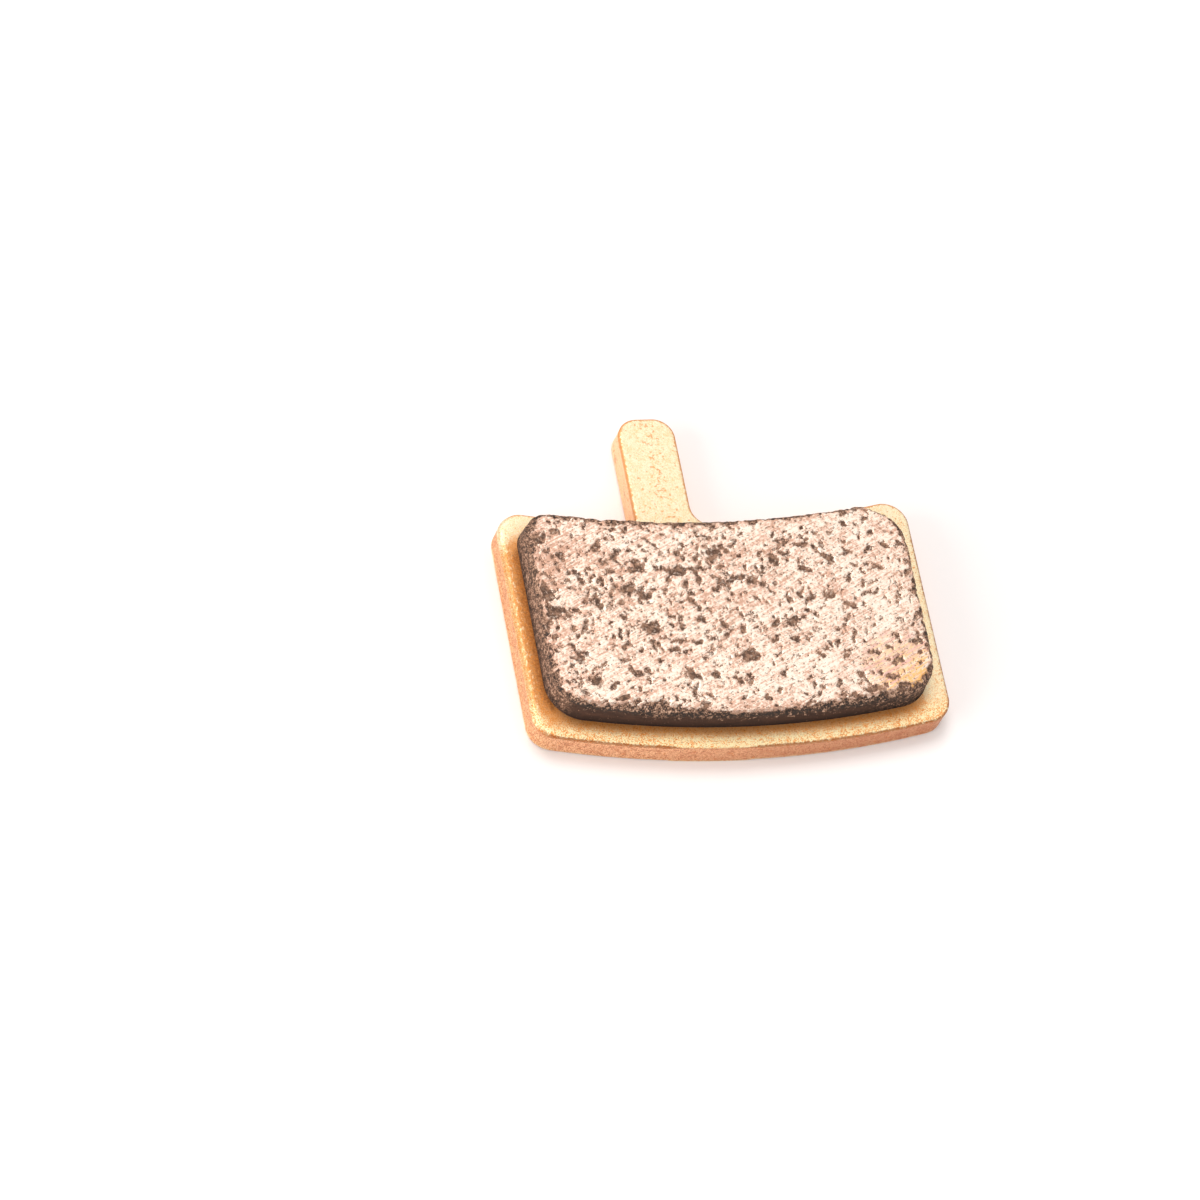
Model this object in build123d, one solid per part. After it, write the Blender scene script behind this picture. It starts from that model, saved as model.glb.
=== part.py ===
"""Bicycle disc brake pad: a blanked and plated steel backing plate that carries a sintered friction block.

The plate lies on z = 0 with the block on top of it. The origin is the middle of the plate's back face, where
the caliper's piston pushes. +X runs along the plate, +Y points to the finger tab and +Z points to the rotor.
Sizes are in millimetres.
"""
import os
from math import radians, sqrt, tan

from build123d import *

# Backing plate, blanked from sheet: straight ends, a convex lower edge and a concave upper edge
PLATE_WIDTH = 30.0
PLATE_HEIGHT = 17.2
PLATE_THICKNESS = 2.0
LOWER_EDGE_RADIUS = 68.0
UPPER_EDGE_RADIUS = 68.0
LOWER_CORNER_RADIUS = 1.8
UPPER_CORNER_RADIUS = 1.65
FRONT_DIE_ROLL = 0.18
BACK_EDGE_BREAK = 0.12

# Finger tab, left of the middle, measured from the middle of the upper edge
TAB_WIDTH = 4.15
TAB_LENGTH = 8.55
TAB_OFFSET = -2.88
TAB_TIP_RADIUS = 1.5
TAB_ROOT_RADIUS = 1.5

# Friction block, pressed and sintered onto the plate inside a bare rim
BLOCK_THICKNESS = 2.1
END_RIM = 1.2
LOWER_RIM = 1.55
UPPER_RIM = 0.7
BLOCK_CORNER_RADIUS = 2.9
BLOCK_UPPER_LEFT_RADIUS = 1.7
MOULD_DRAFT_DEG = 2.5

# Crumbled edge of the ground face, wider along the lower edge and the left end
CRUMBLE_DEPTH = 0.35
LOWER_CRUMBLE = 0.55
LEFT_CRUMBLE = 0.6
RIGHT_CRUMBLE = 0.25
UPPER_CRUMBLE = 0.25

# A rounding takes at most this share of the wall that it rounds
ROUNDING_LIMIT = 0.48


def sagging_edge(start, end, low, radius):
    """Part of a circular edge from x = start to x = end, whose lowest point is on the centre line at y = low."""
    points = [(x, low + radius - sqrt(radius**2 - x**2)) for x in (start, (start + end) / 2, end)]
    return ThreePointArc(*points)


def band(left, right, low, high, low_radius, high_radius, low_corner, upper_left, upper_right):
    """Face with two straight ends and rounded corners, whose lower and upper edges both sag towards -Y.

    low and high are where the two edges cross the centre line, and the last three values are the radii of the
    corners. The lower edge is made in two halves, so that the lowest point of the outline is one of its
    corners.
    """
    lower_left = sagging_edge(left, 0, low, low_radius)
    lower_right = sagging_edge(0, right, low, low_radius)
    upper = sagging_edge(right, left, high, high_radius)
    right_end = Line(lower_right @ 1, upper @ 0)
    left_end = Line(upper @ 1, lower_left @ 0)
    face = make_face([lower_left, lower_right, right_end, upper, left_end])
    face = fillet(face.vertices().sort_by(Axis.Y)[1:3], low_corner)
    face = fillet(face.vertices().sort_by(Axis.Y)[-2:].sort_by(Axis.X)[-1], upper_right)
    return fillet(face.vertices().sort_by(Axis.Y)[-1], upper_left)


def tab_outline():
    """Finger tab as a strip that starts inside the plate and ends in a rounded tip."""
    tip = PLATE_HEIGHT / 2 + TAB_LENGTH
    strip = Pos(TAB_OFFSET, tip / 2) * Rectangle(TAB_WIDTH, tip)
    tip_radius = min(TAB_TIP_RADIUS, ROUNDING_LIMIT * TAB_WIDTH)
    return fillet(strip.vertices().sort_by(Axis.Y)[-2:], tip_radius)


def plate_outline():
    """Outline of the blank: the band and the tab in one face, with rounded roots beside the tab."""
    outline = band(
        -PLATE_WIDTH / 2,
        PLATE_WIDTH / 2,
        -PLATE_HEIGHT / 2,
        PLATE_HEIGHT / 2,
        LOWER_EDGE_RADIUS,
        UPPER_EDGE_RADIUS,
        LOWER_CORNER_RADIUS,
        UPPER_CORNER_RADIUS,
        UPPER_CORNER_RADIUS,
    )
    outline = outline + tab_outline()
    tab_sides = [TAB_OFFSET - TAB_WIDTH / 2, TAB_OFFSET + TAB_WIDTH / 2]
    roots = [outline.vertices().sort_by_distance((side, PLATE_HEIGHT / 2))[0] for side in tab_sides]
    return fillet(roots, TAB_ROOT_RADIUS)


def backing_plate():
    """Blanked plate with a rolled front rim and a lightly broken back rim."""
    plate = extrude(plate_outline(), PLATE_THICKNESS)
    front_roll = min(FRONT_DIE_ROLL, ROUNDING_LIMIT * PLATE_THICKNESS)
    back_break = min(BACK_EDGE_BREAK, ROUNDING_LIMIT * PLATE_THICKNESS)
    plate = fillet(plate.faces().sort_by(Axis.Z)[-1].outer_wire().edges(), front_roll)
    return fillet(plate.faces().sort_by(Axis.Z)[0].outer_wire().edges(), back_break)


def block_section(height, left_inset, right_inset, low_inset, high_inset):
    """Section of the friction block at a height above the plate, set in from the block's foot."""
    low_rim = LOWER_RIM + low_inset
    high_rim = UPPER_RIM + high_inset
    section = band(
        -PLATE_WIDTH / 2 + END_RIM + left_inset,
        PLATE_WIDTH / 2 - END_RIM - right_inset,
        -PLATE_HEIGHT / 2 + low_rim,
        PLATE_HEIGHT / 2 - high_rim,
        LOWER_EDGE_RADIUS - low_rim,
        UPPER_EDGE_RADIUS + high_rim,
        BLOCK_CORNER_RADIUS,
        BLOCK_UPPER_LEFT_RADIUS,
        BLOCK_CORNER_RADIUS,
    )
    return Pos(0, 0, PLATE_THICKNESS + height) * section


def friction_block():
    """Drafted block with a crumbled shoulder, ruled through its foot, its shoulder and its ground face."""
    shoulder = BLOCK_THICKNESS - CRUMBLE_DEPTH
    draft = shoulder * tan(radians(MOULD_DRAFT_DEG))
    foot_section = block_section(0, 0, 0, 0, 0)
    shoulder_section = block_section(shoulder, draft, draft, draft, draft)
    face_section = block_section(
        BLOCK_THICKNESS,
        draft + LEFT_CRUMBLE,
        draft + RIGHT_CRUMBLE,
        draft + LOWER_CRUMBLE,
        draft + UPPER_CRUMBLE,
    )
    return loft([foot_section, shoulder_section, face_section], ruled=True)


os.makedirs("parts", exist_ok=True)
export_step(backing_plate(), "parts/backing_plate.step")
export_step(friction_block(), "parts/friction_block.step")
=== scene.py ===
"""Bicycle disc brake pad: a gold plated steel plate with a finger tab, and a sintered block on its face.

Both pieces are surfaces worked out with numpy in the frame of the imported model, in metres. +X runs along the
plate, +Y points to the tab and +Z points out of the ground friction face. The pad lies on its back.
"""

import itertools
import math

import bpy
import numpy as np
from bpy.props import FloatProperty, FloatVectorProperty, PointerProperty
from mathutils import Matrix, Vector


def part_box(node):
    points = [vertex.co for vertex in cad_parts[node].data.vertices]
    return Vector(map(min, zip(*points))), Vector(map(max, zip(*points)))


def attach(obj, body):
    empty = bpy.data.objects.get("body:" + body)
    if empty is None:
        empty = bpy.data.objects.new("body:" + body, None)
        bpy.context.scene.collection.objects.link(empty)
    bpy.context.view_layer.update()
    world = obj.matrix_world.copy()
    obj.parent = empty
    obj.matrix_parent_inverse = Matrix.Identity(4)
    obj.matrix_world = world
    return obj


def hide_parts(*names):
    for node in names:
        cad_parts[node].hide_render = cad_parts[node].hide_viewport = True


bl_info = {
    "name": "Disc brake pad",
    "version": (1, 0, 0),
    "blender": (4, 5, 0),
    "location": "View3D > Sidebar > Brake pad",
    "description": "Builds a bicycle disc brake pad with its finishes, and a small white studio",
    "category": "Add Mesh",
}

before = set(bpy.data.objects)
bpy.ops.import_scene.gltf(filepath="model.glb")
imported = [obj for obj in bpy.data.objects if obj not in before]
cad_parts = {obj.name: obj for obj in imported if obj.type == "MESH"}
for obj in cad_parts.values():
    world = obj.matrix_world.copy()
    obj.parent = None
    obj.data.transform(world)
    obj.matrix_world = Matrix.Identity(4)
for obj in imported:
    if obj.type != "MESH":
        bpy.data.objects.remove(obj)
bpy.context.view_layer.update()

MM = 0.001
BODY = "root"
PLATE = "backing_plate"
BLOCK = "friction_block"
PLATE_LOW, PLATE_HIGH = (np.array(corner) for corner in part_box(PLATE))
BLOCK_LOW, BLOCK_HIGH = (np.array(corner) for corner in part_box(BLOCK))


# Settings

def number(name, description, default, unit="NONE"):
    """A number that isn't less than 0."""
    return FloatProperty(
        name=name, description=description, default=default, min=0.0, precision=5, unit=unit
    )


def length(name, description, millimetres):
    """A size that is written in millimetres and kept in metres."""
    return number(name, description, millimetres * MM, "LENGTH")


def colour(name, description, red, green, blue):
    """A colour that is written as 0 to 255 sRGB values and kept as linear light."""
    shares = np.array([red, green, blue]) / 255
    linear = np.where(shares <= 0.04045, shares / 12.92, ((shares + 0.055) / 1.055) ** 2.4)
    return FloatVectorProperty(
        name=name, description=description, default=tuple(linear), min=0.0, max=1.0, size=3, subtype="COLOR"
    )


class PlateSettings(bpy.types.PropertyGroup):
    """Shape and colours of the backing plate."""

    edge_radius: length("Edge radius", "Radius of the long edges, which both sag away from the tab", 68.0)
    height: length("Height", "From the lower edge to the upper one, on the centre line", 17.2)
    lower_corner: length("Lower corners", "Radius of the two corners away from the tab", 1.8)
    upper_corner: length("Upper corners", "Radius of the two corners beside the tab", 1.65)
    tab_width: length("Tab width", "Width of the finger tab", 4.15)
    tab_shift: length("Tab shift", "How far the tab's centre line lies left of the plate's", 2.88)
    tab_tip: length("Tab tip", "Radius of the tab's two outer corners", 1.5)
    left_root: length("Left root", "Radius of the hollow corner left of the tab", 0.6)
    right_root: length("Right root", "Radius of the hollow corner right of the tab", 1.5)
    roll_width: length("Rolled edge width", "Width of the rounding that blanking left on the front", 0.2)
    roll_depth: length("Rolled edge depth", "Depth of that rounding", 0.12)
    left_roll_width: length("Left roll width", "Width of the same rounding along the left end", 0.45)
    left_roll_depth: length("Left roll depth", "Depth of the rounding along the left end", 0.22)
    back_break: length("Back edge", "Size of the broken edge round the back", 0.12)
    ripple: length("Wall ripple", "Depth of the tears that blanking left in the walls", 0.03)
    pale_gold: colour("Pale gold", "Tops of the grain on the faces", 250, 234, 202)
    gold: colour("Gold", "Plating on the faces", 246, 223, 181)
    deep_gold: colour("Deep gold", "Hollows of the grain on the faces", 245, 206, 153)
    # Painted shade: the next three colours are a deeper, more orange copy of the gold, laid on the rims in the
    # block's shadow and, more weakly, on a strip of the right rim.
    shaded_pale_gold: colour("Pale warm gold", "Tops of the grain on the rims beside the block", 255, 236, 188)
    shaded_gold: colour("Warm gold", "Plating on those rims", 255, 221, 157)
    shaded_deep_gold: colour("Deep warm gold", "Hollows of the grain on those rims", 242, 156, 84)
    # Stain together with painted shade: amber and sienna darken the plating round the block's foot, where the
    # block's shadow falls.
    amber: colour("Amber", "Stained plating round the block's foot", 212, 134, 58)
    sienna: colour("Sienna", "Deepest stain, at the left end", 150, 84, 22)
    # Painted highlight: this colour paints glints along the rolled left edge.
    painted_glint: colour("Glint", "Polished spots along the rolled edge", 255, 236, 192)
    # Painted light: lit_copper is a paler copy of the copper, for the tab's walls.
    lit_copper: colour("Pale copper", "Plating on the tab's walls", 252, 217, 175)
    copper: colour("Copper", "Plating on the blanked walls", 254, 203, 157)
    mid_copper: colour("Mid copper", "Hollows of the grain on the walls", 218, 146, 106)
    tan: colour("Tan", "Plating on the rolled left wall", 226, 178, 124)
    # dark_copper also paints shade on the lower walls, through tarnish.
    dark_copper: colour("Dark copper", "Stains on the walls", 190, 116, 80)
    rust: colour("Rust", "Specks on the faces and the worn line on the tab", 224, 134, 48)
    brown: colour("Brown", "Dots on the rims and the walls, and the worn front edge", 172, 90, 40)


class BlockSettings(bpy.types.PropertyGroup):
    """Shape, wear and colours of the friction block."""

    upper_rim: length("Upper rim", "Bare plate between the block and the upper edge", 0.7)
    corner: length("Corners", "Radius of three of the block's corners", 2.9)
    upper_left: length("Upper left corner", "Radius of the fourth corner", 1.7)
    draft: length("Draft", "How much the walls lean in up to the shoulder", 0.076)
    crumble_depth: length("Crumble depth", "How far the broken edge lies below the ground face", 0.35)
    crumble_lower: length("Lower crumble", "Width of the broken edge at the ends of the lower edge", 0.38)
    crumble_left: length("Left crumble", "Width of the broken edge at the left end", 0.25)
    crumble_other: length("Other crumble", "Width of the broken edge at the right and the top", 0.3)
    pore_spacing: length("Pore spacing", "Distance from one small pore to the next", 0.62)
    pore_radius: length("Pore radius", "Radius of the largest of the small pores", 0.31)
    pore_depth: length("Pore depth", "Depth of the large pores", 0.14)
    ground_bright: colour("Bright metal", "Flecks that grinding polished", 254, 237, 220)
    ground: colour("Ground metal", "Freshly ground metal", 247, 218, 196)
    ground_soft: colour("Soft metal", "Ground metal between the flecks", 233, 196, 175)
    ground_dull: colour("Dull metal", "Matrix in the scratches", 211, 165, 140)
    fringe: colour("Fringe", "Metal at the brink of the pores", 206, 150, 114)
    pore_pale: colour("Pale pores", "Grains inside the pores", 162, 122, 97)
    pore: colour("Pores", "Inside of the pores", 122, 90, 71)
    pore_dark: colour("Dark pores", "Hollows inside the pores", 92, 66, 51)
    crumb: colour("Crumbs", "Bare grains along the broken edge", 214, 176, 150)
    burnt: colour("Burnt grains", "Dark grains along the broken edge", 54, 43, 37)
    wall: colour("Wall", "Pressed side of the block", 72, 46, 33)
    bare_wall: colour("Bare wall", "Rubbed left side of the block", 110, 80, 62)
    heat_yellow: colour("Heat yellow", "Straw tint that heat left on the ground metal", 252, 188, 108)
    heat_pink: colour("Heat pink", "Rose tint that heat left on the ground metal", 240, 178, 164)


class StudioSettings(bpy.types.PropertyGroup):
    """Camera, lamps and floor."""

    lens: number("Lens", "Focal length", 150.0, "CAMERA")
    key_power: number("Key", "Power of the large lamp", 1.32, "POWER")
    back_power: number("Back", "Power of the lamp behind the tab", 2.4, "POWER")
    fill_power: number("Fill", "Power of the lamp at the left", 4.35, "POWER")
    sky: number("Sky", "Strength of the even white light", 0.51)
    floor: colour("Floor", "Colour of the floor", 250, 244, 241)
    floor_glow: number("Floor glow", "White added to the floor's own light", 0.1)


# Noise

LATTICE = 64
OCTAVES = 3
OCTAVE_TURN = np.array([[0.36, 0.48, -0.8], [-0.8, 0.6, 0.0], [0.48, 0.64, 0.6]])


def value_noise(points, size, seed):
    """Noise from -1 to 1: random numbers on a lattice of cubes of that size, blended by 3t^2 - 2t^3."""
    numbers = np.random.default_rng(seed).uniform(-1.0, 1.0, (LATTICE,) * 3)
    scaled = points / size
    cell = np.floor(scaled).astype(int)
    part = scaled - cell
    part = part * part * (3.0 - 2.0 * part)
    total = np.zeros(len(points))
    for corner in itertools.product((0, 1), repeat=3):
        weight = np.where(corner, part, 1.0 - part).prod(axis=1)
        i, j, k = ((cell + corner) % LATTICE).T
        total += weight * numbers[i, j, k]
    return total


def fractal_noise(points, size, seed, gain=0.6):
    """Octaves of noise from -1 to 1, each turned, half as large as the last and weaker by the gain.

    The size of the first is in millimetres.
    """
    total = np.zeros(len(points))
    for octave in range(OCTAVES):
        points = points @ OCTAVE_TURN.T
        total += gain**octave * value_noise(points, size * MM / 2**octave, seed + octave)
    return total / sum(gain**octave for octave in range(OCTAVES))


def grain_noise(points, size, seed):
    """Rounded grains: 1 - distance to the nearest of centres, one to each cube of a size in millimetres."""
    shifts = np.random.default_rng(seed).uniform(0.0, 1.0, (LATTICE,) * 3 + (3,))
    scaled = points / (size * MM)
    cell = np.floor(scaled).astype(int)
    nearest = np.full(len(points), np.inf)
    for step in itertools.product((-1, 0, 1), repeat=3):
        i, j, k = ((cell + step) % LATTICE).T
        gap = np.linalg.norm(cell + step + shifts[i, j, k] - scaled, axis=1)
        nearest = np.minimum(nearest, gap)
    return np.clip(1.0 - nearest, 0.0, 1.0)


def smooth_step(value, low, high):
    """0 below low and 1 above high, and 3t^2 - 2t^3 between them."""
    part = np.clip((value - low) / (high - low), 0.0, 1.0)
    return part * part * (3.0 - 2.0 * part)


def rise(value, low, high):
    """smooth_step with low and high in millimetres."""
    return smooth_step(value, low * MM, high * MM)


def bell(value, middle, width):
    """1 at the middle and less on both sides: exp(-((value - middle) / width)^2), in millimetres."""
    return np.exp(-(((value - middle * MM) / (width * MM)) ** 2))


def quarter_round(share):
    """Drop of a rounded edge, 1 at the edge and 0 past its width: 1 - sqrt(1 - (1 - share)^2)."""
    rest = np.clip(1.0 - share, 0.0, 1.0)
    return 1.0 - np.sqrt(1.0 - rest * rest)


# Outlines

def corner_cut(gap, radius, lean):
    """How far a corner's rounding takes an edge in, at a gap from the end that it runs into.

    The rounding's centre lies one radius from both lines. With u = radius - gap, and lean the cosine between
    the two inward normals, the cut is radius - u lean - sqrt(1 - lean^2) sqrt(radius^2 - u^2).
    """
    across = np.clip(radius - gap, radius * lean, radius)
    return radius - lean * across - math.sqrt(1.0 - lean**2) * np.sqrt(radius**2 - across**2)


def corner_depth(first, second, radius, lean):
    """Distance inside a rounded corner, from the distances inside its two lines.

    In the corner it is radius - sqrt((u^2 + v^2 - 2 u v lean) / (1 - lean^2)), with u and v the radius less
    each distance, and elsewhere it is the smaller distance.
    """
    u = radius - first
    v = radius - second
    radial = np.sqrt(np.maximum(u * u + v * v - 2.0 * u * v * lean, 0.0) / (1.0 - lean**2))
    in_corner = (u > lean * v) & (v > lean * u)
    return np.where(in_corner, radius - radial, np.minimum(first, second))


class Band:
    """Outline with two straight ends and rounded corners, whose long edges both sag towards -Y.

    An edge is part of a circle about a point on the Y axis: y = low + radius - sqrt(radius^2 - x^2).
    """

    def __init__(self, half_width, low, high, low_radius, high_radius, low_corner, upper_left, upper_right):
        self.half_width = half_width
        self.low = low
        self.high = high
        self.low_radius = low_radius
        self.high_radius = high_radius
        self.low_corner = low_corner
        self.upper_left = upper_left
        self.upper_right = upper_right
        self.low_lean = half_width / low_radius
        self.high_lean = -half_width / high_radius

    def inset(self, amount):
        """The same outline, moved inwards all round with its corner radii kept."""
        return Band(
            self.half_width - amount,
            self.low + amount,
            self.high - amount,
            self.low_radius - amount,
            self.high_radius + amount,
            self.low_corner,
            self.upper_left,
            self.upper_right,
        )

    def high_corner(self, x):
        """Radius of the upper corner on either side of the centre line."""
        return np.where(x < 0.0, self.upper_left, self.upper_right)

    def lower(self, x):
        """Lower edge, taken in at both corners."""
        cut = corner_cut(self.half_width - np.abs(x), self.low_corner, self.low_lean)
        return self.low + self.low_radius - np.sqrt((self.low_radius - cut) ** 2 - x * x)

    def upper(self, x):
        """Upper edge, taken in at both corners."""
        cut = corner_cut(self.half_width - np.abs(x), self.high_corner(x), self.high_lean)
        return self.high + self.high_radius - np.sqrt((self.high_radius + cut) ** 2 - x * x)

    def from_lower(self, x, y):
        """Distance inside the lower edge."""
        return self.low_radius - np.hypot(x, y - self.low - self.low_radius)

    def from_upper(self, x, y):
        """Distance inside the upper edge."""
        return np.hypot(x, y - self.high - self.high_radius) - self.high_radius

    def depth(self, x, y):
        """Distance inside the outline."""
        side = self.half_width - np.abs(x)
        low = corner_depth(side, self.from_lower(x, y), self.low_corner, self.low_lean)
        high = corner_depth(side, self.from_upper(x, y), self.high_corner(x), self.high_lean)
        return np.minimum(low, high)


class Blank:
    """Outline of the plate: a band with a round-tipped tab on its upper edge, joined by hollow corners."""

    def __init__(self, settings):
        self.band = Band(
            PLATE_HIGH[0],
            PLATE_LOW[1],
            PLATE_LOW[1] + settings.height,
            settings.edge_radius,
            settings.edge_radius,
            settings.lower_corner,
            settings.upper_corner,
            settings.upper_corner,
        )
        self.left = -settings.tab_shift - settings.tab_width / 2
        self.right = -settings.tab_shift + settings.tab_width / 2
        self.tip = PLATE_HIGH[1]
        self.tip_radius = settings.tab_tip
        self.left_root = settings.left_root
        self.right_root = settings.right_root

    def tab_gap(self, x):
        """Distance inside the nearer side of the tab, less than 0 outside it."""
        return np.minimum(x - self.left, self.right - x)

    def root(self, x):
        """Radius of the hollow corner on either side of the tab."""
        return np.where(x < (self.left + self.right) / 2, self.left_root, self.right_root)

    def upper(self, x):
        """Upper edge of the band with the two hollow corners, and a straight line across the tab's root."""
        outside = np.maximum(-self.tab_gap(x), 0.0)
        edge = self.band.upper(x) + corner_cut(outside, self.root(x), 0.0)
        ends = np.array([self.left, self.right])
        root = np.interp(x, ends, self.band.upper(ends) + self.root(ends))
        return np.where(self.tab_gap(x) >= 0.0, root, edge)

    def tab_end(self, x):
        """Tip of the tab, taken in at both corners."""
        return self.tip - corner_cut(self.tab_gap(x), self.tip_radius, 0.0)

    def depth(self, x, y):
        """Distance inside the outline: a round union of band and tab.

        With u and v the root radius plus each distance, it is sqrt(u^2 + v^2) less the root radius.
        """
        band = self.band.depth(x, y)
        tab = corner_depth(self.tab_gap(x), self.tip - y, self.tip_radius, 0.0)
        root = self.root(x)
        u = np.maximum(root + band, 0.0)
        v = np.maximum(root + tab, 0.0)
        return np.hypot(u, v) - np.maximum(root, np.minimum(-band, -tab))


def inward(outline, x, y):
    """Direction in which the depth inside an outline grows, as the slope of the depth over a small step."""
    step = 0.01 * MM
    depth = outline.depth(x, y)
    slope = np.stack([outline.depth(x + step, y) - depth, outline.depth(x, y + step) - depth], axis=1)
    return slope / np.maximum(np.linalg.norm(slope, axis=1, keepdims=True), 1e-12)


# Grids

def graded(start, end, start_rounding, end_rounding, step):
    """Places from start to end about a step apart, crowded as radius (1 - cos a) over each rounding."""

    def crowd(radius):
        """Distances from the end that a rounding starts at."""
        count = round(radius * math.pi / 2 / step)
        return radius * (1.0 - np.cos(np.linspace(0.0, math.pi / 2, count, endpoint=False)))

    first = start + start_rounding
    last = end - end_rounding
    middle = np.linspace(first, last, round((last - first) / step) + 1)
    return np.concatenate([start + crowd(start_rounding), middle, (end - crowd(end_rounding))[::-1]])


def crowded_rows(count, crowding):
    """Shares from 0 to 1 that lie closer together towards both ends: u - crowding sin(2 pi u) / (2 pi)."""
    even = np.linspace(0.0, 1.0, count)
    return even - crowding * np.sin(2 * math.pi * even) / (2 * math.pi)


def fill(x, low, high, rows):
    """Grid with a column at each x, and rows from low to high at those shares."""
    y = low[:, None] + (high - low)[:, None] * rows
    return np.broadcast_to(x[:, None], y.shape), y


def cells(numbers):
    """The four corners of every cell of a grid of vertex numbers, seen from above in turn to the left."""
    corners = [numbers[:-1, :-1], numbers[1:, :-1], numbers[1:, 1:], numbers[:-1, 1:]]
    return np.stack(corners, axis=-1).reshape(-1, 4)


def ring_cells(rings):
    """Cells between closed rings of vertex numbers that go down round a piece, facing outwards."""
    closed = np.concatenate([rings, rings[:, :1]], axis=1)
    return cells(closed)


def rim_of(numbers):
    """Vertex numbers round a grid, anticlockwise from its first corner."""
    return np.concatenate([numbers[:-1, 0], numbers[-1, :-1], numbers[:0:-1, -1], numbers[0, :0:-1]])


def make_piece(name, node, surface, attributes, material):
    """Puts a closed surface into a mesh object that rides on the body and stands for a node."""
    mesh = bpy.data.meshes.new(name)
    mesh.from_pydata(surface.points.tolist(), [], surface.faces)
    for label, values in attributes.items():
        layer = mesh.attributes.new(label, "FLOAT", "POINT")
        layer.data.foreach_set("value", values.astype(np.float32))
    mesh.shade_smooth()
    mesh.materials.append(material)
    piece = bpy.data.objects.new(name, mesh)
    bpy.context.scene.collection.objects.link(piece)
    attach(piece, BODY)
    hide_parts(node)


# Shader trees

class Value:
    """An output of a shader tree. Arithmetic on it adds Math nodes."""

    def __init__(self, tree, socket):
        self.tree = tree
        self.socket = socket

    def _math(self, operation, *values):
        """A Math node on these values."""
        return self.tree.node("ShaderNodeMath", {"operation": operation}, dict(enumerate(values)))

    def __add__(self, other):
        return self._math("ADD", self, other)

    __radd__ = __add__

    def __sub__(self, other):
        return self._math("SUBTRACT", self, other)

    def __rsub__(self, other):
        return self._math("SUBTRACT", other, self)

    def __mul__(self, other):
        return self._math("MULTIPLY", self, other)

    __rmul__ = __mul__

    def __abs__(self):
        return self._math("ABSOLUTE", self)

    def __or__(self, other):
        return self._math("MAXIMUM", self, other)


class Finish:
    """A material whose node tree is written as expressions."""

    BUMP_DEPTH = 0.05 * MM
    METALLIC = 0.6

    def __init__(self, name):
        self.material = bpy.data.materials.new(name)
        self.material.use_nodes = True
        self.nodes = self.material.node_tree.nodes
        self.links = self.material.node_tree.links
        self.surface = self.nodes["Principled BSDF"]
        self.place = self.node("ShaderNodeTexCoord", {}, {}, "Object")

    def node(self, kind, settings, inputs, output=0):
        """Adds a node, makes its settings, then sets or links its inputs, and gives one of its outputs."""
        made = self.nodes.new(kind)
        for label, value in settings.items():
            if label == "stops":
                self.set_stops(made.color_ramp, value)
            else:
                setattr(made, label, value)
        for label, value in inputs.items():
            self.feed(made.inputs[label], value)
        return Value(self, made.outputs[output])

    def set_stops(self, ramp, stops):
        """Gives a ramp its places and colours, in order."""
        while len(ramp.elements) < len(stops):
            ramp.elements.new(1.0)
        for element, (place, tint) in zip(ramp.elements, stops):
            element.position = place
            element.color = (*tint, 1.0)

    def feed(self, socket, value):
        """Links a value to a socket, or sets the socket to a number, a vector or a colour."""
        if isinstance(value, Value):
            self.links.new(value.socket, socket)
        elif socket.type == "RGBA":
            socket.default_value = (*value, 1.0)
        else:
            socket.default_value = value

    def attributes(self, *labels):
        """Numbers that the mesh holds at each vertex."""
        return [self.node("ShaderNodeAttribute", {"attribute_name": label}, {}, "Fac") for label in labels]

    def axes(self):
        """The x, y and z of a place on the piece, in metres."""
        split = self.node("ShaderNodeSeparateXYZ", {}, {0: self.place})
        return [Value(self, socket) for socket in split.socket.node.outputs]

    def stretched(self, turn, scale):
        """Places turned about Z by degrees, then scaled along each axis."""
        rotation = (0.0, 0.0, math.radians(turn))
        turned = self.node("ShaderNodeMapping", {}, {"Vector": self.place, "Rotation": rotation})
        return self.node("ShaderNodeMapping", {}, {"Vector": turned, "Scale": scale})

    def noise(self, size, detail, roughness, place=None):
        """Noise from 0 to 1 with features of that size in millimetres."""
        inputs = {
            "Vector": place or self.place,
            "Scale": 1.0 / (size * MM),
            "Detail": detail,
            "Roughness": roughness,
        }
        return self.node("ShaderNodeTexNoise", {}, inputs, "Fac")

    def step(self, value, low, high):
        """0 below low and 1 above high, with a smooth rise between them."""
        settings = {"interpolation_type": "SMOOTHSTEP", "clamp": True}
        return self.node("ShaderNodeMapRange", settings, {0: value, 1: low, 2: high})

    def ramp(self, value, *stops):
        """A colour that follows a number through pairs of a place and a colour."""
        return self.node("ShaderNodeValToRGB", {"stops": stops}, {0: value})

    def mix(self, share, first, second):
        """A colour between two colours."""
        settings = {"data_type": "RGBA", "clamp_factor": True}
        return self.node("ShaderNodeMix", settings, {0: share, 6: first, 7: second}, 2)

    def shade(self, tint, amount):
        """A colour made darker or lighter by a number."""
        settings = {"data_type": "RGBA", "blend_type": "MULTIPLY"}
        grey = self.node("ShaderNodeCombineColor", {}, {0: amount, 1: amount, 2: amount})
        return self.node("ShaderNodeMix", settings, {0: 1.0, 6: tint, 7: grey}, 2)

    def bump(self, height, strength):
        """Normal of a surface with that height, in shares of the bump's depth."""
        inputs = {"Height": height, "Distance": self.BUMP_DEPTH, "Strength": strength}
        return self.node("ShaderNodeBump", {}, inputs)

    def finish(self, **inputs):
        """Feeds the surface and gives the material."""
        for label, value in inputs.items():
            self.feed(self.surface.inputs[label.replace("_", " ")], value)
        return self.material


# Backing plate

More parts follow.
